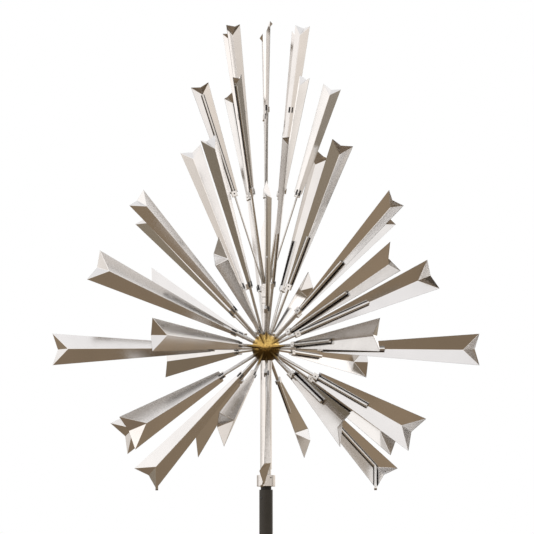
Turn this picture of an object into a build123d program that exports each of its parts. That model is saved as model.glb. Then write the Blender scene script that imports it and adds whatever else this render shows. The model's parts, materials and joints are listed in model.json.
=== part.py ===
from build123d import *
import os
from collections import namedtuple
from math import cos, pi, radians, sin, tan

# Wind-driven double rotor on a pole. The origin is the centre of the base flange's underside,
# +Z runs up the pole. Heights named REL are measured from the centre of the ball hub.

# Stand
HUB_HEIGHT = 1250.0
BASE_DIAMETER = 420.0
BASE_THICKNESS = 16.0
BOLT_CIRCLE = 340.0
BOLT_HOLE = 14.0
BOLT_COUNT = 4
POLE_DIAMETER = 48.3
POLE_WALL = 3.2
POLE_SOCKET_DEPTH = 10.0
POLE_TOP_REL = -508.0
PLUG_LENGTH = 60.0
NECK_DIAMETER = 38.0
NECK_TOP_REL = -493.0
SEAT_HEIGHT = 2.0
SEAT_DIAMETER = 26.0
WELD_LEG = 7.0
WELDED_EDGE_CHAMFER = 3.0
TURNED_EDGE_FILLET = 1.5

# Spindle, stepped down towards the top
SPINDLE_FOOT = 20.0
SPINDLE_MIDDLE = 15.0
SPINDLE_TOP = 10.0
MIDDLE_STEP_REL = -470.0
FOOT_CLEARANCE = 3.0
MIDDLE_CLEARANCE = 0.9
TOP_CLEARANCE = 3.5

# Lower rotor's centre
BALL_DIAMETER = 101.6
SOCKET_BOTTOM = 41.0
MAST_DIAMETER = 41.0
MAST_WALL = 3.0
MAST_BOTTOM_REL = -435.0
MAST_TOP_REL = -28.0
HOUSING_DIAMETER = 66.0
HOUSING_BOTTOM_REL = -496.5
HOUSING_TOP_REL = -455.5
HOUSING_NECK = 36.5
SPIGOT_LENGTH = 25.0
HOUSING_SCREW_DROP = 10.0
HOUSING_SCREW_LENGTH = 6.0

# Upper rotor's centre
SPACER_DIAMETER = 26.0
SPACER_BOTTOM_REL = 50.5
COLLAR_BOTTOM_REL = 160.0
COLLAR_TOP_REL = 181.0
COLLAR_DIAMETER = 31.5
COLLAR_CHAMFER = 1.0
COLLAR_SCREW_HEADING = -70.0
CROWN_HUB_BOTTOM_REL = 183.0
CROWN_HUB_TOP_REL = 230.5
CROWN_HUB_DIAMETER = 34.0
CROWN_HUB_FILLET = 1.0
CROWN_SOCKET_REL = 222.5

# Blades: folded sheet, each wing tilted back from flat by WING_ANGLE
SHEET = 1.0
WING_ANGLE = 23.8
ROOT_NARROWING = 0.9
ROD_STANDOFF = 1.2
ROD_CHAMFER = 0.6
LONG_ROD_SETBACK = 2.0
SHORT_ROD_END = 427.0
STUB_LENGTH = 9.0
FOOT_BEND = 11.0

# Clamp at a blade's root
CLAMP_LENGTH = 20.0
CLAMP_WIDTH = 22.0
CLAMP_CAP = 4.5
CLAMP_OVERLAP = 6.0
CLAMP_CORNER = 2.0
KEEPER = (20.0, 4.6, 3.0)
KEEPER_OFFSET = 6.4
KEEPER_CHAMFER = 0.8

# Screws, all of one thread size, with a hexagon socket in the head
SET_SCREW = 5.0
HEX_SOCKET = 1.45
HEX_DEPTH = 2.0
SCREW_RECESS = 1.0
BUTTON_HEAD_HEIGHT = 2.4

# Ball bearings: a ball's radius as a share of the pitch radius, the gap between the balls and
# the grooves, and the gap between the balls and the cage
BALL_TO_PITCH = 0.2
BALL_GAP = 0.3
CAGE_GAP = 0.05
CAGE_HALF_WALL = 0.22
CAGE_HALF_HEIGHT = 1.25
RACE_SHOULDER = 0.6

# A level is a ring of equal arms. elevation tilts them up from level and heading is the first
# arm's direction; clamp, fold_end and corner are distances along the arm from its origin, which
# is origin_rel above the ball's centre; opening is +1 where the blades scoop wind from one
# side and -1 where they scoop it from the other; rod_end None means the rod runs to the fold's end.
Level = namedtuple(
    "Level",
    "name count heading elevation clamp fold_end corner half_width rod rod_end origin_rel opening",
)
LOWER_LEVELS = [
    Level("foot", 4, 0.0, -47.3, 130.0, 581.0, 636.0, 52.7, 10.0, None, 0.0, 1),
    Level("low", 8, 30.0, -29.9, 212.0, 569.0, 639.0, 64.5, 12.0, SHORT_ROD_END, 0.0, 1),
    Level("level", 6, 0.0, -0.4, 194.0, 710.0, 766.0, 56.3, 12.0, SHORT_ROD_END, 0.0, 1),
    Level("rising", 6, 15.0, 24.1, 128.0, 637.0, 693.0, 56.8, 12.0, SHORT_ROD_END, 0.0, 1),
    Level("slanted", 6, 30.0, 44.0, 185.0, 691.0, 734.0, 40.6, 12.0, SHORT_ROD_END, 0.0, 1),
    Level("steep", 6, 45.0, 68.7, 234.0, 745.0, 787.0, 40.3, 10.0, SHORT_ROD_END, 0.0, 1),
]
OUTER_CROWN = Level(
    "outer_crown", 6, 1.3, 72.3, 377.0, 759.0, 792.0, 32.7, 7.0, None, 198.0, -1
)
INNER_CROWN = Level(
    "inner_crown", 6, 31.3, 82.0, 439.0, 1011.0, 1046.0, 29.0, 7.0, 742.0, 126.0, -1
)
UPPER_LEVELS = [OUTER_CROWN, INNER_CROWN]
INNER_CROWN_MID_CLAMP = 732.0

COS_WING = cos(radians(WING_ANGLE))
TAN_WING = tan(radians(WING_ANGLE))


def disc(radius, bottom, top):
    """Upright cylinder between two heights measured from the ball's centre."""
    height = top - bottom
    return Pos(0, 0, HUB_HEIGHT + bottom + height / 2) * Cylinder(radius, height)


def ring(outer_radius, inner_radius, bottom, top):
    return disc(outer_radius, bottom, top) - disc(inner_radius, bottom - 1, top + 1)


def save(name, solids):
    """Write one sub-part, made of one or more separate solids."""
    if not isinstance(solids, list):
        solids = [solids]
    export_step(Compound(children=[s.solid() for s in solids]), f"parts/{name}.step")


# ---------------------------------------------------------------------------------------------
# Arms
# ---------------------------------------------------------------------------------------------


def arm_planes(level):
    """One frame per arm: X runs out along the arm, Z faces the blade's open side."""
    planes = []
    for index in range(level.count):
        heading = radians(level.heading + index * 360.0 / level.count)
        tilt = radians(level.elevation)
        along = Vector(cos(tilt) * cos(heading), cos(tilt) * sin(heading), sin(tilt))
        open_side = Vector(sin(heading), -cos(heading), 0) * level.opening
        origin = (0, 0, HUB_HEIGHT + level.origin_rel)
        planes.append(Plane(origin=origin, x_dir=along, z_dir=open_side))
    return planes


def around(level, shape):
    """Copies of one shape, placed on every arm of a level."""
    return [plane.location * shape for plane in arm_planes(level)]


def fold_depth(level):
    """Distance from the arm's axis back to the inner face of the blade's fold line."""
    return (level.rod / 2 + ROD_STANDOFF) / COS_WING


def half_width_at(level, distance):
    """Half width of a blade at a distance along its arm."""
    root = level.clamp + CLAMP_LENGTH / 2 - CLAMP_OVERLAP
    root_width = ROOT_NARROWING * level.half_width * root / level.corner
    share = (distance - root) / (level.corner - root)
    return root_width + share * (level.half_width - root_width)


# ---------------------------------------------------------------------------------------------
# Blades
# ---------------------------------------------------------------------------------------------


def plane_through(a, b, c):
    """Plane as a unit normal and its distance from the origin."""
    normal = (b - a).cross(c - a).normalized()
    return normal, normal.dot(a)


def moved_back(plane, distance):
    """The plane shifted against the +Z side by a distance."""
    normal, offset = plane
    if normal.Z < 0:
        normal, offset = normal * -1, -offset
    return normal, offset - distance


def meeting_point(first, second, third):
    """The one point that three planes share."""
    (n1, d1), (n2, d2), (n3, d3) = first, second, third
    total = n2.cross(n3) * d1 + n3.cross(n1) * d2 + n1.cross(n2) * d3
    return total * (1 / n1.dot(n2.cross(n3)))


def mirrored(point):
    return Vector(point.X, -point.Y, point.Z)


def blade_corners(level):
    """Corners of the sheet's inner face: fold root, fold end, edge root, tip corner, tip notch."""
    root = level.clamp + CLAMP_LENGTH / 2 - CLAMP_OVERLAP
    depth = fold_depth(level)
    root_width = half_width_at(level, root)
    fold_root = Vector(root, 0, -depth)
    fold_end = Vector(level.fold_end, 0, -depth)
    edge_root = Vector(root, root_width, TAN_WING * root_width - depth)
    corner = Vector(level.corner, level.half_width, TAN_WING * level.half_width - depth)
    # The tip is folded back: its middle point is mirrored in the plane of the two diagonals.
    unfolded = Vector(level.corner, 0, -depth)
    normal, offset = plane_through(fold_end, corner, mirrored(corner))
    notch = unfolded - normal * (2 * (normal.dot(unfolded) - offset))
    return fold_root, fold_end, edge_root, corner, notch


def sheet_planes(level, distance):
    """The wing and tip-facet planes on the +Y half, moved back by a distance."""
    fold_root, fold_end, _, corner, notch = blade_corners(level)
    wing = moved_back(plane_through(fold_root, fold_end, corner), distance)
    facet = moved_back(plane_through(fold_end, notch, corner), distance)
    return wing, facet


def flipped(plane):
    normal, offset = plane
    return mirrored(normal), offset


def blade(level):
    """Tapered V-folded sheet with a swallow-tail tip."""
    fold_root, fold_end, edge_root, corner, notch = blade_corners(level)
    wing, facet = sheet_planes(level, SHEET)
    root_plane = (Vector(1, 0, 0), fold_root.X)
    edge_plane = plane_through(edge_root, corner, edge_root + wing[0])
    back_fold_root = meeting_point(wing, flipped(wing), root_plane)
    back_fold_end = meeting_point(wing, flipped(wing), facet)
    back_edge_root = meeting_point(wing, edge_plane, root_plane)
    back_corner = meeting_point(wing, edge_plane, facet)
    tip_plane = plane_through(corner, notch, back_corner)
    back_notch = meeting_point(facet, flipped(facet), tip_plane)

    half = [
        [fold_root, fold_end, corner, edge_root],
        [fold_end, notch, corner],
        [back_fold_root, back_edge_root, back_corner, back_fold_end],
        [back_fold_end, back_corner, back_notch],
        [fold_root, edge_root, back_edge_root, back_fold_root],
        [edge_root, corner, back_corner, back_edge_root],
        [corner, notch, back_notch, back_corner],
    ]
    other_half = [[mirrored(point) for point in reversed(outline)] for outline in half]
    faces = [Face(Wire.make_polygon(outline, close=True)) for outline in half + other_half]
    return Solid(Shell(faces))


# ---------------------------------------------------------------------------------------------
# Rods and clamps
# ---------------------------------------------------------------------------------------------


def straight_rod(level, start, end):
    rod = Pos((start + end) / 2, 0, 0) * Rot(0, 90, 0) * Cylinder(level.rod / 2, end - start)
    tip_edge = rod.edges().filter_by(GeomType.CIRCLE).sort_by(Axis.X)[-1]
    return chamfer(tip_edge, ROD_CHAMFER)


def foot_rods(level, start):
    """Rods that follow the fold, turn down the tip's diagonal and end in an upright stub."""
    reach = level.rod / 2 + ROD_STANDOFF
    wing, facet = sheet_planes(level, -reach)
    bend = meeting_point(wing, flipped(wing), facet)
    _, fold_end, _, corner, _ = blade_corners(level)
    diagonal = mirrored(corner) - fold_end
    # Which way is straight down, seen from inside the arm's frame.
    tilt = radians(level.elevation)
    down = Vector(-sin(tilt), -cos(tilt), 0)
    knee = bend + diagonal
    stub_end = knee + down * STUB_LENGTH
    path = FilletPolyline(Vector(start, 0, 0), bend, knee, stub_end, radius=FOOT_BEND)
    section = Plane(origin=(start, 0, 0), z_dir=(1, 0, 0)) * Circle(level.rod / 2)
    return sweep(section, path=path)


def rod_end(level):
    return level.rod_end or level.fold_end - LONG_ROD_SETBACK


def rods(level, start):
    if level.name == "foot":
        return around(level, foot_rods(level, start))
    return around(level, straight_rod(level, start, rod_end(level)))


def clamp_block(level, distance):
    """Block round the rod, its back shaped to sit in the blade's fold."""
    depth = fold_depth(level)
    side = CLAMP_WIDTH / 2
    shoulder = TAN_WING * side - depth
    top = level.rod / 2 + CLAMP_CAP
    corner = CLAMP_CORNER
    outline = Polyline(
        (0, -depth),
        (side, shoulder),
        (side, top - corner),
        (side - corner, top),
        (corner - side, top),
        (-side, top - corner),
        (-side, shoulder),
        close=True,
    )
    profile = Plane(origin=(distance - CLAMP_LENGTH / 2, 0, 0), x_dir=(0, 1, 0), z_dir=(1, 0, 0))
    block = extrude(profile * make_face(outline), CLAMP_LENGTH)
    bore = Pos(distance, 0, 0) * Rot(0, 90, 0) * Cylinder(level.rod / 2, CLAMP_LENGTH + 2)
    screw_hole = Pos(distance, 0, top) * Cylinder(SET_SCREW / 2, 2 * CLAMP_CAP)
    return block - bore - screw_hole


def grub_screw(length):
    """Headless screw lying along -Z from the origin, with its hexagon socket at the origin."""
    body = Pos(0, 0, -length / 2) * Cylinder(SET_SCREW / 2, length)
    return body - hex_socket()


def hex_socket():
    return Pos(0, 0, -HEX_DEPTH) * extrude(RegularPolygon(HEX_SOCKET, 6), 2 * HEX_DEPTH)


def set_screw(level, distance):
    """Grub screw that bears on the rod, just short of the block's face."""
    length = CLAMP_CAP - SCREW_RECESS / 2
    return Pos(distance, 0, level.rod / 2 + length) * grub_screw(length)


def keepers(level, distance):
    """Two bars that hold the blade's root against the clamp from behind."""
    back = fold_depth(level) + SHEET / COS_WING
    bars = []
    for side in (1, -1):
        length, width, thickness = KEEPER
        bar = Pos(0, side * KEEPER_OFFSET, -thickness / 2) * Box(length, width, thickness)
        bar = chamfer(bar.edges().filter_by(Axis.X).group_by(Axis.Z)[0], KEEPER_CHAMFER)
        bars.append(Pos(distance + CLAMP_OVERLAP, 0, -back) * Rot(side * WING_ANGLE, 0, 0) * bar)
    return bars


def clamp_places(level):
    """Distances of a level's clamps along each arm."""
    if level is INNER_CROWN:
        return [level.clamp, INNER_CROWN_MID_CLAMP]
    return [level.clamp]


# ---------------------------------------------------------------------------------------------
# Ball bearings
# ---------------------------------------------------------------------------------------------

Bearing = namedtuple("Bearing", "bore outside width bottoms")
HOUSING_BEARING = Bearing(20.0, 42.0, 12.0, [NECK_TOP_REL + SEAT_HEIGHT])
HUB_BEARING = Bearing(15.0, 32.0, 9.0, [-9.0])
CROWN_BEARING = Bearing(10.0, 22.0, 6.0, [184.5, 205.0])


def bearing_top(bearing, index):
    """Height of the top of one of a bearing's rows."""
    return bearing.bottoms[index] + bearing.width


def ball_size(bearing):
    """Pitch radius and ball radius of a bearing."""
    pitch = (bearing.bore + bearing.outside) / 4
    return pitch, pitch * BALL_TO_PITCH


def bearing_rings(bearing):
    """Inner and outer races, each with the groove that its balls run in."""
    inner, outer = [], []
    pitch, ball = ball_size(bearing)
    shoulder = RACE_SHOULDER * ball
    for bottom in bearing.bottoms:
        top = bottom + bearing.width
        groove = Pos(0, 0, HUB_HEIGHT + (bottom + top) / 2) * Torus(pitch, ball + BALL_GAP)
        inner.append(ring(pitch - shoulder, bearing.bore / 2, bottom, top) - groove)
        outer.append(ring(bearing.outside / 2, pitch + shoulder, bottom, top) - groove)
    return inner, outer


def bearing_balls(bearing):
    """Balls and the cage that spaces them."""
    pitch, ball = ball_size(bearing)
    count = int(pi * pitch / (CAGE_HALF_HEIGHT * ball))
    wall = CAGE_HALF_WALL * ball
    rise = CAGE_HALF_HEIGHT * ball
    balls, cages = [], []
    for bottom in bearing.bottoms:
        middle = bottom + bearing.width / 2
        cage = ring(pitch + wall, pitch - wall, middle - rise, middle + rise)
        for place in PolarLocations(pitch, count):
            pocket = Pos(0, 0, HUB_HEIGHT + middle) * place
            balls.append(pocket * Sphere(ball))
            cage -= pocket * Rot(0, 90, 0) * Cylinder(ball + CAGE_GAP, 2 * ball)
        cages.append(cage)
    return balls, cages


# ---------------------------------------------------------------------------------------------
# Stand
# ---------------------------------------------------------------------------------------------


def base_flange():
    plate = Pos(0, 0, BASE_THICKNESS / 2) * Cylinder(BASE_DIAMETER / 2, BASE_THICKNESS)
    plate = chamfer(plate.edges().group_by(Axis.Z)[-1], WELDED_EDGE_CHAMFER)
    for hole in PolarLocations(BOLT_CIRCLE / 2, BOLT_COUNT):
        plate -= Pos(0, 0, BASE_THICKNESS / 2) * hole * Cylinder(BOLT_HOLE / 2, 2 * BASE_THICKNESS)
    recess = Cylinder(POLE_DIAMETER / 2, POLE_SOCKET_DEPTH)
    return plate - Pos(0, 0, BASE_THICKNESS - POLE_SOCKET_DEPTH / 2) * recess


def weld_bead():
    """Fillet weld between the pole and the flange."""
    inner = POLE_DIAMETER / 2
    heel = (inner, BASE_THICKNESS)
    toe = (inner + WELD_LEG, BASE_THICKNESS)
    crest = (inner, BASE_THICKNESS + WELD_LEG)
    return revolve(Plane.XZ * make_face(Polyline(heel, toe, crest, close=True)), Axis.Z)


def pole_tube():
    bottom = BASE_THICKNESS - POLE_SOCKET_DEPTH - HUB_HEIGHT
    tube = ring(POLE_DIAMETER / 2, POLE_DIAMETER / 2 - POLE_WALL, bottom, POLE_TOP_REL)
    rim = tube.edges().group_by(Axis.Z)[-1].sort_by(SortBy.LENGTH)[-1]
    tube = fillet(rim, TURNED_EDGE_FILLET)
    for hole in plug_screw_places():
        tube -= hole * Cylinder(SET_SCREW / 2, 4 * POLE_WALL)
    return tube


def plug_screw_places():
    """Where the two screws through the pole's wall stand, their axes pointing outwards."""
    height = HUB_HEIGHT + POLE_TOP_REL - PLUG_LENGTH / 2
    radius = POLE_DIAMETER / 2
    return [Rot(0, 0, turn) * Pos(radius, 0, height) * Rot(0, 90, 0) for turn in (45, 225)]


def plug_screws():
    """Button screws that hold the plug in the pole."""
    screws = []
    for place in plug_screw_places():
        shank = Pos(0, 0, -POLE_WALL) * Cylinder(SET_SCREW / 2, 2 * POLE_WALL)
        head = Pos(0, 0, BUTTON_HEAD_HEIGHT / 2) * Cylinder(0.8 * SET_SCREW, BUTTON_HEAD_HEIGHT)
        head = fillet(head.edges().group_by(Axis.Z)[-1], BUTTON_HEAD_HEIGHT / 2)
        screws.append(place * (shank + head - Pos(0, 0, BUTTON_HEAD_HEIGHT) * hex_socket()))
    return screws


def pole_plug():
    """Turned plug in the pole's top, with the neck and the bearing seat above it."""
    inside = POLE_DIAMETER / 2 - POLE_WALL
    body = disc(inside, POLE_TOP_REL - PLUG_LENGTH, POLE_TOP_REL)
    neck = disc(NECK_DIAMETER / 2, POLE_TOP_REL, NECK_TOP_REL)
    neck = fillet(neck.edges().group_by(Axis.Z)[-1], TURNED_EDGE_FILLET)
    seat = disc(SEAT_DIAMETER / 2, NECK_TOP_REL, NECK_TOP_REL + SEAT_HEIGHT)
    plug = body + neck + seat
    plug -= disc(SPINDLE_FOOT / 2, POLE_TOP_REL - PLUG_LENGTH - 1, 0)
    for hole in plug_screw_places():
        plug -= hole * Cylinder(SET_SCREW / 2, 4 * POLE_WALL)
    return plug


def spindle():
    """One shaft from the plug to the top of the upper hub, stepped for its bearings."""
    foot = disc(SPINDLE_FOOT / 2, POLE_TOP_REL - PLUG_LENGTH, MIDDLE_STEP_REL)
    middle = disc(SPINDLE_MIDDLE / 2, MIDDLE_STEP_REL, CROWN_BEARING.bottoms[0])
    top = disc(SPINDLE_TOP / 2, CROWN_BEARING.bottoms[0], bearing_top(CROWN_BEARING, -1))
    return foot + middle + top


def spacer_tube():
    return ring(SPACER_DIAMETER / 2, SPINDLE_MIDDLE / 2, SPACER_BOTTOM_REL, COLLAR_BOTTOM_REL)


def shaft_collar():
    """Collar that holds the spacer tube down, just under the upper hub."""
    body = ring(COLLAR_DIAMETER / 2, SPINDLE_MIDDLE / 2, COLLAR_BOTTOM_REL, COLLAR_TOP_REL)
    body = chamfer(body.edges().group_by(Axis.Z)[0].sort_by(SortBy.LENGTH)[-1], COLLAR_CHAMFER)
    return body - collar_screw_place() * Cylinder(SET_SCREW / 2, COLLAR_DIAMETER)


def collar_screw_place():
    height = HUB_HEIGHT + (COLLAR_BOTTOM_REL + COLLAR_TOP_REL) / 2
    face = Pos(COLLAR_DIAMETER / 2, 0, height) * Rot(0, 90, 0)
    return Rot(0, 0, COLLAR_SCREW_HEADING) * face


def collar_screw():
    length = (COLLAR_DIAMETER - SPINDLE_MIDDLE) / 2 - SCREW_RECESS
    return collar_screw_place() * Pos(0, 0, -SCREW_RECESS) * grub_screw(length)


# ---------------------------------------------------------------------------------------------
# Lower rotor's centre
# ---------------------------------------------------------------------------------------------


def ball_hub():
    """Brass ball, bored for the mast tube, its bearing and every arm."""
    ball = Pos(0, 0, HUB_HEIGHT) * Sphere(BALL_DIAMETER / 2)
    ball -= disc(MAST_DIAMETER / 2, -BALL_DIAMETER, MAST_TOP_REL)
    ball -= disc(HUB_BEARING.outside / 2, MAST_TOP_REL - 1, bearing_top(HUB_BEARING, 0))
    ball -= disc(SPINDLE_MIDDLE / 2 + MIDDLE_CLEARANCE, 0, BALL_DIAMETER)
    for level in LOWER_LEVELS:
        for plane in arm_planes(level):
            socket = Pos(BALL_DIAMETER / 2, 0, 0) * Rot(0, 90, 0)
            length = BALL_DIAMETER - 2 * SOCKET_BOTTOM
            ball -= plane.location * socket * Cylinder(level.rod / 2, length)
    return ball


def mast_tube():
    return ring(MAST_DIAMETER / 2, MAST_DIAMETER / 2 - MAST_WALL, MAST_BOTTOM_REL, MAST_TOP_REL)


def bearing_housing():
    """Silver collar on the lower bearing, with a neck and a spigot up into the mast tube."""
    body = disc(HOUSING_DIAMETER / 2, HOUSING_BOTTOM_REL, HOUSING_TOP_REL)
    body = fillet(body.edges().filter_by(GeomType.CIRCLE), TURNED_EDGE_FILLET)
    neck = disc(HOUSING_NECK / 2, HOUSING_TOP_REL, MAST_BOTTOM_REL)
    spigot = disc(MAST_DIAMETER / 2 - MAST_WALL, MAST_BOTTOM_REL, MAST_BOTTOM_REL + SPIGOT_LENGTH)
    seat_top = bearing_top(HOUSING_BEARING, 0)
    housing = body + neck + spigot
    housing -= disc(HOUSING_BEARING.outside / 2, HOUSING_BOTTOM_REL - 1, seat_top)
    housing -= disc(SPINDLE_FOOT / 2 + FOOT_CLEARANCE, HOUSING_BOTTOM_REL, 0)
    for place in housing_screw_places():
        housing -= place * Cylinder(SET_SCREW / 2, 2 * (HOUSING_SCREW_LENGTH + SCREW_RECESS))
    return housing


def housing_screw_places():
    height = HUB_HEIGHT + HOUSING_TOP_REL - HOUSING_SCREW_DROP
    radius = HOUSING_DIAMETER / 2
    return [Rot(0, 0, turn) * Pos(radius, 0, height) * Rot(0, 90, 0) for turn in (-60, 60, 180)]


def housing_screws():
    """Grub screws in the housing's rim, sunk just under its surface."""
    sunk = Pos(0, 0, -SCREW_RECESS) * grub_screw(HOUSING_SCREW_LENGTH)
    return [place * sunk for place in housing_screw_places()]


# ---------------------------------------------------------------------------------------------
# Upper rotor's centre
# ---------------------------------------------------------------------------------------------


def height_start(level, height_rel):
    """Distance along an arm at which its axis passes a height."""
    return (height_rel - level.origin_rel) / sin(radians(level.elevation))


def crown_hub():
    """Small hub that carries the twelve crown arms in blind sockets in its top."""
    race = CROWN_BEARING.outside / 2
    top = bearing_top(CROWN_BEARING, -1)
    hub = disc(CROWN_HUB_DIAMETER / 2, CROWN_HUB_BOTTOM_REL, CROWN_HUB_TOP_REL)
    hub = fillet(hub.edges().group_by(Axis.Z)[0], CROWN_HUB_FILLET)
    hub -= disc(race, CROWN_HUB_BOTTOM_REL - 1, bearing_top(CROWN_BEARING, 0))
    hub -= disc(SPINDLE_TOP / 2 + TOP_CLEARANCE, CROWN_HUB_BOTTOM_REL, top)
    hub -= disc(race, CROWN_BEARING.bottoms[-1], top)
    for level in UPPER_LEVELS:
        for rod in rods(level, height_start(level, CROWN_SOCKET_REL)):
            hub -= rod
    return hub


# ---------------------------------------------------------------------------------------------
# Build every node
# ---------------------------------------------------------------------------------------------


def save_levels(levels, rotor, rod_start):
    """Arms, blades and clamps of each level, then the rotor's keeper bars and set screws."""
    bars, screws = [], []
    for level in levels:
        save(f"arms_{level.name}", rods(level, rod_start(level)))
        save(f"blades_{level.name}", around(level, blade(level)))
        blocks = []
        for distance in clamp_places(level):
            blocks += around(level, clamp_block(level, distance))
            screws += around(level, set_screw(level, distance))
            for bar in keepers(level, distance):
                bars += around(level, bar)
        save(f"clamps_{level.name}", blocks)
    save(f"{rotor}_keeper_bars", bars)
    save(f"{rotor}_clamp_screws", screws)


def save_bearing(name, bearing):
    inner, outer = bearing_rings(bearing)
    balls, cages = bearing_balls(bearing)
    save(f"{name}_bearing_inner_race", inner)
    save(f"{name}_bearing_outer_race", outer)
    save(f"{name}_bearing_balls", balls)
    save(f"{name}_bearing_cage", cages)


os.makedirs("parts", exist_ok=True)
save("base_flange", base_flange())
save("pole_weld", weld_bead())
save("pole_tube", pole_tube())
save("pole_plug", pole_plug())
save("plug_screws", plug_screws())
save("spindle", spindle())
save("spacer_tube", spacer_tube())
save("shaft_collar", shaft_collar())
save("shaft_collar_screw", collar_screw())
save("ball_hub", ball_hub())
save("mast_tube", mast_tube())
save("bearing_housing", bearing_housing())
save("housing_screws", housing_screws())
save("crown_hub", crown_hub())
save_bearing("housing", HOUSING_BEARING)
save_bearing("hub", HUB_BEARING)
save_bearing("crown", CROWN_BEARING)
save_levels(LOWER_LEVELS, "lower", lambda level: SOCKET_BOTTOM)
save_levels(UPPER_LEVELS, "upper", lambda level: height_start(level, CROWN_SOCKET_REL))
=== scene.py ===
import json
import math

import bmesh
import bpy
import numpy as np
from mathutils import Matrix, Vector


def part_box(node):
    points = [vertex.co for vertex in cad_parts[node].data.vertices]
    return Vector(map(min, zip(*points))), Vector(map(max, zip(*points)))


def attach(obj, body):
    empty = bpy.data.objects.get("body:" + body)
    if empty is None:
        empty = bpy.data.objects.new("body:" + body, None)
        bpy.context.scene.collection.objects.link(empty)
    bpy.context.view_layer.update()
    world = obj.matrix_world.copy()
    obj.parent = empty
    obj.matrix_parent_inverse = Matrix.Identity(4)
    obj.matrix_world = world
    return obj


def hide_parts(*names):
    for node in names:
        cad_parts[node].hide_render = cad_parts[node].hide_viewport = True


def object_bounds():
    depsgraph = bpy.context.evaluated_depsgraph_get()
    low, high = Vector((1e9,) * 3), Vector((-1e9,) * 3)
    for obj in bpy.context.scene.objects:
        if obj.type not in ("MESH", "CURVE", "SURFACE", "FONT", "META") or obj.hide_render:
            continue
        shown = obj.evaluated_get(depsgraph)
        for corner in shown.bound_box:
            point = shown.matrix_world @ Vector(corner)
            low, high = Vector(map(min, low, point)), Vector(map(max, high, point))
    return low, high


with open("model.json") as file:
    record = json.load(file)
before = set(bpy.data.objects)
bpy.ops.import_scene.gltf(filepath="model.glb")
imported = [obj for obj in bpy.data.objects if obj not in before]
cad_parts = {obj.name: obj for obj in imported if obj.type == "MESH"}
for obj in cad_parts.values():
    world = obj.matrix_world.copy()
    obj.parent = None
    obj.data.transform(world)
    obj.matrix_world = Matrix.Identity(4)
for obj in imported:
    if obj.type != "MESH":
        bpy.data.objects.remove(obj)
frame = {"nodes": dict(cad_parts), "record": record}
CAD_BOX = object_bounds()

MM = 0.001
RECORD = frame["record"]
NODES = frame["nodes"]
BODY_OF = {n: body for body, names in RECORD["behaviour"]["bodies"].items() for n in names}
SLOT_OF = {part["node"]: part["material_slot"] for part in RECORD["subparts"]}


def middle(node):
    low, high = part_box(node)
    return (low + high) / 2


# ---------------------------------------------------------------------------------------------
# Camera: a long lens, low down, looking a little up past the hub
# ---------------------------------------------------------------------------------------------

CAMERA_DISTANCE = 10.481
CAMERA_DROP = 0.8007
CAMERA_HEADING = math.radians(1.2955)
CAMERA_AIM = math.radians(1.3145)
CAMERA_PITCH = math.radians(5.945)
CAMERA_LENS = 197.11
SENSOR_WIDTH = 36.0


def plain_tones():
    """Show the light as it is, with no film curve."""
    bpy.context.scene.view_settings.view_transform = "Standard"


def add_camera():
    hub = middle("ball_hub")
    data = bpy.data.cameras.new("camera")
    data.lens = CAMERA_LENS
    data.sensor_width = SENSOR_WIDTH
    camera = bpy.data.objects.new("camera", data)
    side = Vector((math.sin(CAMERA_HEADING), math.cos(CAMERA_HEADING), 0))
    camera.location = hub - side * CAMERA_DISTANCE - Vector((0, 0, CAMERA_DROP))
    camera.rotation_euler = (math.pi / 2 + CAMERA_PITCH, 0, -CAMERA_AIM)
    bpy.context.scene.collection.objects.link(camera)
    bpy.context.scene.camera = camera


# ---------------------------------------------------------------------------------------------
# Node helpers
# ---------------------------------------------------------------------------------------------


def feed(tree, socket, value):
    """Link an output to a socket, or set the socket's own value."""
    if isinstance(value, bpy.types.NodeSocket):
        tree.links.new(value, socket)
    else:
        socket.default_value = value


def add(tree, kind, settings=None, **inputs):
    """Add a shader node. An input's name has _ in place of its spaces."""
    made = tree.nodes.new("ShaderNode" + kind)
    for name, value in (settings or {}).items():
        setattr(made, name, value)
    for name, value in inputs.items():
        feed(tree, made.inputs[name.replace("_", " ")], value)
    return made


def maths(tree, operation, *values):
    made = tree.nodes.new("ShaderNodeMath")
    made.operation = operation
    for socket, value in zip(made.inputs, values):
        feed(tree, socket, value)
    return made.outputs[0]


def remap(tree, value, low, high, to_low, to_high):
    made = add(
        tree, "MapRange", Value=value, From_Min=low, From_Max=high, To_Min=to_low, To_Max=to_high
    )
    return made.outputs["Result"]


def noise(tree, vector, scale, detail=3.0, stretch=(1, 1, 1)):
    """Noise value of a vector, pulled long along the axes whose stretch is small."""
    mapped = add(tree, "Mapping", Vector=vector, Scale=stretch).outputs["Vector"]
    return add(tree, "TexNoise", Vector=mapped, Scale=scale, Detail=detail).outputs["Fac"]


def ramp(tree, value, stops):
    """Colour ramp from (position, colour) stops."""
    made = add(tree, "ValToRGB", Fac=value)
    elements = made.color_ramp.elements
    for position, colour in stops[1:-1]:
        elements.new(position)
    for element, (position, colour) in zip(elements, stops):
        element.position = position
        element.color = (*colour, 1)
    return made.outputs["Color"]


def facing(tree, direction, side):
    """How far a direction points to a side, from -1 to 1."""
    made = add(tree, "VectorMath", {"operation": "DOT_PRODUCT"})
    feed(tree, made.inputs[0], direction)
    feed(tree, made.inputs[1], side)
    return made.outputs["Value"]


def blend_colours(tree, share, first, second):
    made = add(tree, "Mix", {"data_type": "RGBA"})
    feed(tree, made.inputs[0], share)
    for socket, colour in ((made.inputs[6], first), (made.inputs[7], second)):
        feed(tree, socket, colour if isinstance(colour, bpy.types.NodeSocket) else (*colour, 1))
    return made.outputs[2]


# ---------------------------------------------------------------------------------------------
# Studio: white surround, brown ground seen only in the mirrors, pale floor, one soft lamp
# ---------------------------------------------------------------------------------------------

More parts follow.
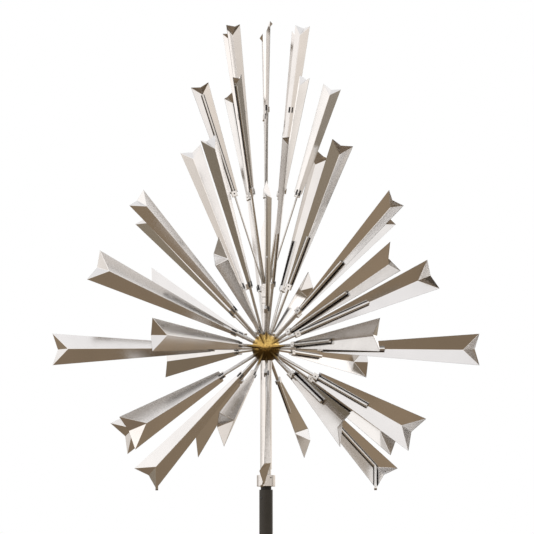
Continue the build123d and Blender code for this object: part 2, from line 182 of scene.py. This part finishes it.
# What the polished faces mirror, by elevation in degrees.
SURROUND = [
    (-90, (0.277, 0.206, 0.147)),
    (-45, (0.292, 0.219, 0.150)),
    (-30, (0.342, 0.256, 0.173)),
    (-15, (0.391, 0.298, 0.206)),
    (-7, (0.345, 0.292, 0.217)),
    (-3, (0.430, 0.365, 0.290)),
    (3, (1.14, 1.04, 0.95)),
    (7, (1.44, 1.37, 1.31)),
    (18, (1.55, 1.49, 1.46)),
    (30, (1.38, 1.35, 1.33)),
    (50, (1.25, 1.24, 1.26)),
    (90, (1.12, 1.13, 1.16)),
]
BACKDROP = (1.0, 1.0, 1.0)
# The open side, where the bright sky comes down lowest, and how the sky's strength varies round.
GAP = (-0.966, -0.259, 0.0)
GAP_DROP = 0.19
SKY_VARIATION = 0.22
HEDGE = (0.082, 0.076, 0.056)
# Dark masses low down, each as the direction it stands in, how narrow and how dense it is.
MASSES = [((-0.74, 0.67, 0.0), 10.0, 0.95), ((1.0, -0.07, 0.0), 50.0, 0.9)]
# The height, in a direction of length 1, of the hedges' and masses' foot and top.
HEDGE_FOOT = -0.42
HEDGE_TOP = 0.10
FLOOR_SIZE = 240.0
FLOOR_COLOUR = (0.80, 0.79, 0.78)
LAMP_SIZE = 5.0
LAMP_PLACE = (-3.0, -4.0, 6.0)
LAMP_POWER = 260.0


def add_world():
    world = bpy.data.worlds.new("studio")
    bpy.context.scene.world = world
    world.use_nodes = True
    tree = world.node_tree
    tree.nodes.clear()

    direction = add(tree, "TexCoord").outputs["Generated"]
    parts = add(tree, "SeparateXYZ", Vector=direction).outputs
    height = parts["Z"]
    sway = noise(tree, direction, 2.2, detail=2.0, stretch=(1, 1, 0.2))
    shifted = maths(tree, "ADD", height, remap(tree, sway, 0.3, 0.7, -0.03, 0.03))
    gap = maths(tree, "POWER", maths(tree, "MAXIMUM", facing(tree, direction, GAP), 0.0), 3.0)
    shifted = maths(tree, "ADD", shifted, maths(tree, "MULTIPLY", gap, GAP_DROP))
    elevation = maths(tree, "ARCSINE", maths(tree, "MINIMUM", shifted, 1.0))
    level = remap(tree, elevation, -math.pi / 2, math.pi / 2, 0.0, 1.0)
    surround = ramp(tree, level, [((angle + 90) / 180, colour) for angle, colour in SURROUND])
    quarter = maths(tree, "MULTIPLY", parts["X"], parts["Y"])
    strength = maths(tree, "ADD", 1.0, maths(tree, "MULTIPLY", quarter, SKY_VARIATION))

    hedge = ramp(
        tree,
        remap(tree, height, HEDGE_FOOT, HEDGE_TOP, 0.0, 1.0),
        [(0.0, (0, 0, 0)), (0.22, (0.7, 0.7, 0.7)), (0.75, (1, 1, 1)), (1.0, (0, 0, 0))],
    )
    patches = noise(tree, direction, 5.0, detail=4.0, stretch=(1, 1, 0.5))
    shade = remap(tree, patches, 0.54, 0.68, 0.0, 0.7)
    for side, narrowness, density in MASSES:
        mass = maths(tree, "MAXIMUM", facing(tree, direction, side), 0.0)
        mass = maths(tree, "MULTIPLY", maths(tree, "POWER", mass, narrowness), density)
        shade = maths(tree, "MAXIMUM", shade, mass)
    hedge_share = maths(tree, "MULTIPLY", hedge, shade)
    mirrored = blend_colours(tree, hedge_share, surround, HEDGE)

    seen = add(tree, "LightPath").outputs["Is Camera Ray"]
    colour = blend_colours(tree, seen, mirrored, BACKDROP)
    strength = add(tree, "Mix", {"data_type": "FLOAT"}, Factor=seen, A=strength, B=1.0)
    background = add(tree, "Background", Color=colour, Strength=strength.outputs[0])
    output = add(tree, "OutputWorld")
    tree.links.new(background.outputs["Background"], output.inputs["Surface"])


def add_floor():
    bpy.ops.mesh.primitive_plane_add(size=FLOOR_SIZE, location=(0, 0, CAD_BOX[0].z))
    floor = bpy.context.object
    floor.name = "floor"
    floor.visible_glossy = False
    material = bpy.data.materials.new("floor")
    material.use_nodes = True
    shader = material.node_tree.nodes["Principled BSDF"]
    shader.inputs["Base Color"].default_value = (*FLOOR_COLOUR, 1)
    shader.inputs["Roughness"].default_value = 0.9
    shader.inputs["Specular IOR Level"].default_value = 0.1
    floor.data.materials.append(material)


def add_lamp():
    data = bpy.data.lights.new("softbox", "AREA")
    data.size = LAMP_SIZE
    data.energy = LAMP_POWER
    lamp = bpy.data.objects.new("softbox", data)
    lamp.location = LAMP_PLACE
    target = middle("ball_hub")
    lamp.rotation_euler = (target - lamp.location).to_track_quat("-Z", "Y").to_euler()
    lamp.visible_glossy = False
    bpy.context.scene.collection.objects.link(lamp)


# ---------------------------------------------------------------------------------------------
# Materials, one for each slot of the record
# ---------------------------------------------------------------------------------------------

MATERIALS = {}
# How the grain's noise is stretched, per metre along each axis.
ALONG = (4, 320, 320)
BLOCK = (900, 30, 900)
LATHE = (2200, 1, 2200)
DRAWN = (1400, 1400, 4)
# Painted shade: the near-black colour blended into bare metal in narrow crevices.
CREVICE_SHADE_COLOUR = (0.07, 0.066, 0.062)
CREVICE_REACH = 0.010
CREVICE_SAMPLES = 8
# Marks dull the metal and rounded edges are worn brighter but rougher.
DULLED = 0.925
MARK_ROUGHNESS = 0.05
WORN = 1.08
WORN_ROUGHNESS = 0.08
SCRATCH_DEPTH = 8e-6
PIT_DEPTH = 6e-5
COATING_SPECULAR = 0.28


def new_material(slot):
    """Make the slot's material and return its node tree and shader."""
    material = bpy.data.materials.new(slot)
    material.use_nodes = True
    MATERIALS[slot] = material
    return material.node_tree, material.node_tree.nodes["Principled BSDF"]


def dress(tree, shader, colour, roughness, relief):
    """Link a colour, a roughness and a bump whose relief is in metres."""
    tree.links.new(colour, shader.inputs["Base Color"])
    tree.links.new(roughness, shader.inputs["Roughness"])
    bump = add(tree, "Bump", Strength=1.0, Distance=1.0, Height=relief)
    tree.links.new(bump.outputs["Normal"], shader.inputs["Normal"])


def object_coordinates(tree):
    return add(tree, "TexCoord").outputs["Object"]


def own_coordinates(tree):
    """Each sheet's, rod's or block's own place: X along it, Y across it, Z through it."""
    return add(tree, "Attribute", {"attribute_name": "grain"}).outputs["Vector"]


def lathe_coordinates(tree):
    """Distance from the turning axis and height, the same all round."""
    place = add(tree, "SeparateXYZ", Vector=object_coordinates(tree))
    x, y, z = (place.outputs[axis] for axis in "XYZ")
    squares = maths(tree, "ADD", maths(tree, "MULTIPLY", x, x), maths(tree, "MULTIPLY", y, y))
    return add(tree, "CombineXYZ", X=maths(tree, "SQRT", squares), Z=z).outputs["Vector"]


def edge_share(tree):
    """1 on the rounded edges of a refined piece and 0 elsewhere."""
    return add(tree, "Attribute", {"attribute_name": "edge"}).outputs["Fac"]


def painted_crevice_shade(tree):
    """Painted shade: 1 deep in the narrow gaps between a rod, its clamps and the sheet, 0 in the
    open, found by ambient occlusion.
    """
    made = add(tree, "AmbientOcclusion", {"samples": CREVICE_SAMPLES}, Distance=CREVICE_REACH)
    return remap(tree, made.outputs["AO"], 0.30, 0.72, 1.0, 0.0)


def metal(slot, colour, roughness, vector, grain, depth, wave=0.0, edge=True):
    """Bare metal with a directional grain, faint handling marks, brighter worn edges and painted
    shade in narrow crevices.

    grain is the noise's stretch, depth the grain's relief and wave the sheet's, in metres."""
    tree, shader = new_material(slot)
    coordinates = vector(tree)
    streaks = noise(tree, coordinates, 1.0, detail=4.0, stretch=grain)
    place = object_coordinates(tree)
    marks = noise(tree, place, 9.0, detail=5.0)
    spots = noise(tree, place, 60.0, detail=2.0)

    dulled = tuple(c * DULLED for c in colour)
    tone = blend_colours(tree, remap(tree, marks, 0.35, 0.75, 0.0, 1.0), colour, dulled)
    tone = blend_colours(tree, remap(tree, streaks, 0.3, 0.7, 0.0, 0.2), tone, dulled)
    gloss = maths(tree, "ADD", roughness, remap(tree, marks, 0.4, 0.8, 0.0, MARK_ROUGHNESS))
    gloss = maths(tree, "ADD", gloss, remap(tree, spots, 0.62, 0.75, 0.0, 0.04))
    if edge:
        worn = edge_share(tree)
        tone = blend_colours(tree, worn, tone, tuple(c * WORN for c in colour))
        gloss = maths(tree, "ADD", gloss, maths(tree, "MULTIPLY", worn, WORN_ROUGHNESS))
    # Painted shade: darken the metal where ambient occlusion finds a narrow crevice.
    tone = blend_colours(tree, painted_crevice_shade(tree), tone, CREVICE_SHADE_COLOUR)
    shader.inputs["Metallic"].default_value = 1.0

    relief = maths(tree, "MULTIPLY", streaks, depth)
    if wave:
        swell = noise(tree, coordinates, 1.0, detail=1.0, stretch=(5, 14, 14))
        relief = maths(tree, "ADD", relief, maths(tree, "MULTIPLY", swell, wave))
    dress(tree, shader, tone, gloss, relief)


def brass(slot, colour, roughness, node):
    """Polished brass with tarnish in patches, darker towards the bottom, and fine scratches.

    node is the piece whose lower half is darkened."""
    low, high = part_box(node)
    centre, reach = middle(node).z, (high.z - low.z) / 2
    tree, shader = new_material(slot)
    place = object_coordinates(tree)
    patches = noise(tree, place, 28.0, detail=6.0)
    speckle = noise(tree, place, 190.0, detail=3.0)
    scratches = noise(tree, lathe_coordinates(tree), 1.0, detail=4.0, stretch=(900, 1, 900))
    tarnished = (colour[0] * 0.52, colour[1] * 0.44, colour[2] * 0.38)
    tone = blend_colours(tree, remap(tree, patches, 0.45, 0.72, 0.0, 0.8), colour, tarnished)
    tone = blend_colours(tree, remap(tree, speckle, 0.48, 0.66, 0.0, 0.75), tone, tarnished)
    # Darker towards the bottom: the lower half blends by height into a near-black brown.
    height = add(tree, "SeparateXYZ", Vector=place).outputs["Z"]
    height = maths(tree, "ADD", height, remap(tree, speckle, 0.3, 0.7, -0.3 * reach, 0.3 * reach))
    under = remap(tree, height, centre + 0.05 * reach, centre - 0.30 * reach, 0.0, 0.9)
    tone = blend_colours(tree, under, tone, tuple(c * 0.16 for c in tarnished))
    gloss = maths(tree, "ADD", roughness, remap(tree, patches, 0.4, 0.8, 0.0, 0.14))
    shader.inputs["Metallic"].default_value = 1.0
    pits = maths(tree, "MULTIPLY", speckle, PIT_DEPTH)
    relief = maths(tree, "ADD", maths(tree, "MULTIPLY", scratches, SCRATCH_DEPTH), pits)
    dress(tree, shader, tone, gloss, relief)


def coating(slot, colour, roughness, peel):
    """Powder coat or black oxide: orange peel and rubbed, paler clouds."""
    tree, shader = new_material(slot)
    place = object_coordinates(tree)
    peel_noise = noise(tree, place, 520.0, detail=2.0)
    cloud = noise(tree, place, 14.0, detail=5.0)
    lighter = tuple(c * 1.6 + 0.003 for c in colour)
    shader.inputs["Specular IOR Level"].default_value = COATING_SPECULAR
    tone = blend_colours(tree, remap(tree, cloud, 0.42, 0.75, 0.0, 0.6), colour, lighter)
    gloss = maths(tree, "ADD", roughness, remap(tree, cloud, 0.3, 0.8, -0.05, 0.15))
    dress(tree, shader, tone, gloss, maths(tree, "MULTIPLY", peel_noise, peel))


def make_materials():
    """Fill MATERIALS with the material of each slot."""
    own, turned, drawn = own_coordinates, lathe_coordinates, object_coordinates
    steel = (0.66, 0.645, 0.63)
    metal("blade_steel", (0.67, 0.655, 0.64), 0.15, own, ALONG, 2.5e-6, wave=2.2e-4)
    metal("rod_steel", (0.62, 0.61, 0.595), 0.13, own, ALONG, 1.2e-6)
    metal("clamp_steel", (0.66, 0.65, 0.635), 0.22, own, BLOCK, 5e-6)
    metal("tube_steel", steel, 0.09, drawn, DRAWN, 1e-6, edge=False)
    metal("machined_steel", steel, 0.18, turned, LATHE, 8e-6, edge=False)
    metal("bearing_steel", (0.72, 0.72, 0.73), 0.08, turned, LATHE, 2e-6, edge=False)
    coating("dark_screw", (0.028, 0.027, 0.027), 0.32, 3e-5)
    brass("brass", (0.66, 0.46, 0.15), 0.12, "ball_hub")
    brass("cage_brass", (0.70, 0.50, 0.20), 0.25, "hub_bearing_cage")
    coating("pole_paint", (0.016, 0.013, 0.009), 0.34, 6e-5)
    coating("plug_black", (0.007, 0.005, 0.004), 0.38, 3e-5)


# ---------------------------------------------------------------------------------------------
# Refined pieces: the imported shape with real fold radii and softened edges
# ---------------------------------------------------------------------------------------------

FOLD_RADIUS = 1.4 * MM
EDGE_ROUND = 0.28 * MM
CLAMP_ROUND = 0.7 * MM
SHEET_FACE_WIDTH = 3 * MM
FLAT = math.radians(1.0)
CREASE = math.radians(12.0)
CORNER = math.radians(25.0)
BLOCK_CORNER = math.radians(30.0)
WELDED_GAP = 0.002 * MM


def cleaned(node):
    """The node's mesh with its split corners joined and its flat faces whole."""
    mesh = bmesh.new()
    mesh.from_mesh(NODES[node].data)
    bmesh.ops.remove_doubles(mesh, verts=mesh.verts, dist=WELDED_GAP)
    bmesh.ops.dissolve_limit(mesh, angle_limit=FLAT, verts=mesh.verts, edges=mesh.edges)
    bmesh.ops.connect_verts_concave(mesh, faces=mesh.faces)
    return mesh


def face_width(face):
    return face.calc_area() / max(edge.calc_length() for edge in face.edges)


def is_fold(edge):
    wide = all(face_width(face) > SHEET_FACE_WIDTH for face in edge.link_faces)
    return wide and edge.calc_face_angle(0) > CREASE


def round_edges(mesh, edges, size, segments):
    made = bmesh.ops.bevel(
        mesh,
        geom=edges,
        offset=size,
        offset_type="OFFSET",
        segments=segments,
        profile=0.5,
        affect="EDGES",
        clamp_overlap=True,
    )
    layer = mesh.faces.layers.float.get("edge") or mesh.faces.layers.float.new("edge")
    for face in made["faces"]:
        if face.is_valid:
            face[layer] = 1.0


def islands(mesh):
    """The separate solids, each as a list of vertices, in the mesh's own order."""
    found = set()
    groups = []
    for start in mesh.verts:
        if start in found:
            continue
        found.add(start)
        group = [start]
        for vertex in group:
            for edge in vertex.link_edges:
                other = edge.other_vert(vertex)
                if other not in found:
                    found.add(other)
                    group.append(other)
        groups.append(group)
    return groups


def lay_grain(mesh):
    """Give every solid its own coordinates along, across and through it."""
    layer = mesh.verts.layers.float_vector.new("grain")
    for number, group in enumerate(islands(mesh)):
        # A whole number added through the solid gives each one a different grain.
        points = np.array([vertex.co[:] for vertex in group])
        centre = points.mean(axis=0)
        _, _, axes = np.linalg.svd(points - centre, full_matrices=False)
        own = (points - centre) @ axes.T
        own[:, 2] += number
        for vertex, place in zip(group, own):
            vertex[layer] = place


def finish_piece(mesh, name, node):
    """Turn the mesh into an object that rides on the node's body and stands for the node."""
    data = bpy.data.meshes.new(name)
    mesh.to_mesh(data)
    mesh.free()
    piece = bpy.data.objects.new(name, data)
    bpy.context.scene.collection.objects.link(piece)
    data.shade_smooth()
    even = piece.modifiers.new("even shading", "WEIGHTED_NORMAL")
    even.weight = 100
    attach(piece, BODY_OF[node])
    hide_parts(node)
    data.materials.append(MATERIALS[SLOT_OF[node]])
    return piece


def folded_sheets(node):
    mesh = cleaned(node)
    round_edges(mesh, [edge for edge in mesh.edges if is_fold(edge)], FOLD_RADIUS, 3)
    sharp = [edge for edge in mesh.edges if edge.calc_face_angle(0) > CORNER]
    round_edges(mesh, sharp, EDGE_ROUND, 2)
    lay_grain(mesh)
    return finish_piece(mesh, node.replace("blades", "folded_blades"), node)


def softened_blocks(node, prefix, size):
    mesh = cleaned(node)
    sharp = [edge for edge in mesh.edges if edge.calc_face_angle(0) > BLOCK_CORNER]
    round_edges(mesh, sharp, size, 2)
    lay_grain(mesh)
    return finish_piece(mesh, prefix + node, node)


def grained(node, prefix):
    mesh = cleaned(node)
    mesh.faces.layers.float.new("edge")
    lay_grain(mesh)
    return finish_piece(mesh, prefix + node, node)


# ---------------------------------------------------------------------------------------------
# Weld bead
# ---------------------------------------------------------------------------------------------

BEAD_STEPS = 360
BEAD_RIPPLES = 45
BEAD_ARC = 8
BEAD_SINK = 0.2 * MM


def weld_bead():
    """Fillet weld round the pole's foot, laid in overlapping ripples."""
    low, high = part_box("pole_weld")
    leg = high.z - low.z
    root = high.x - leg - BEAD_SINK
    floor = low.z - BEAD_SINK
    mesh = bmesh.new()
    rows = []
    for step in range(BEAD_STEPS):
        turn = 2 * math.pi * step / BEAD_STEPS
        ripple = (step * BEAD_RIPPLES / BEAD_STEPS) % 1.0
        reach = leg * (0.90 + 0.08 * math.sin(math.pi * ripple) + 0.015 * math.sin(7 * turn))
        row = []
        for index in range(BEAD_ARC + 1):
            bow = math.pi / 2 * index / BEAD_ARC
            swell = 0.80 + 0.10 * abs(math.cos(2 * bow))
            radius = root + reach * swell * math.cos(bow) / 0.9
            height = floor + reach * swell * math.sin(bow) / 0.9
            row.append(mesh.verts.new((radius * math.cos(turn), radius * math.sin(turn), height)))
        row.append(mesh.verts.new((root * math.cos(turn), root * math.sin(turn), floor)))
        rows.append(row)
    for first, second in zip(rows, rows[1:] + rows[:1]):
        for index in range(len(first)):
            after = (index + 1) % len(first)
            mesh.faces.new((first[index], second[index], second[after], first[after]))
    bmesh.ops.recalc_face_normals(mesh, faces=mesh.faces)
    return finish_piece(mesh, "rippled_weld", "pole_weld")


# ---------------------------------------------------------------------------------------------
# Put it together
# ---------------------------------------------------------------------------------------------

add_camera()
add_world()
add_floor()
add_lamp()
plain_tones()
make_materials()

for node in sorted(NODES):
    if node.startswith("blades_"):
        folded_sheets(node)
    elif node.startswith("clamps_"):
        softened_blocks(node, "soft_", CLAMP_ROUND)
    elif node.endswith("keeper_bars"):
        softened_blocks(node, "soft_", EDGE_ROUND)
    elif node.startswith("arms_"):
        grained(node, "drawn_")
    elif node == "pole_weld":
        weld_bead()
    else:
        NODES[node].data.materials.clear()
        NODES[node].data.materials.append(MATERIALS[SLOT_OF[node]])
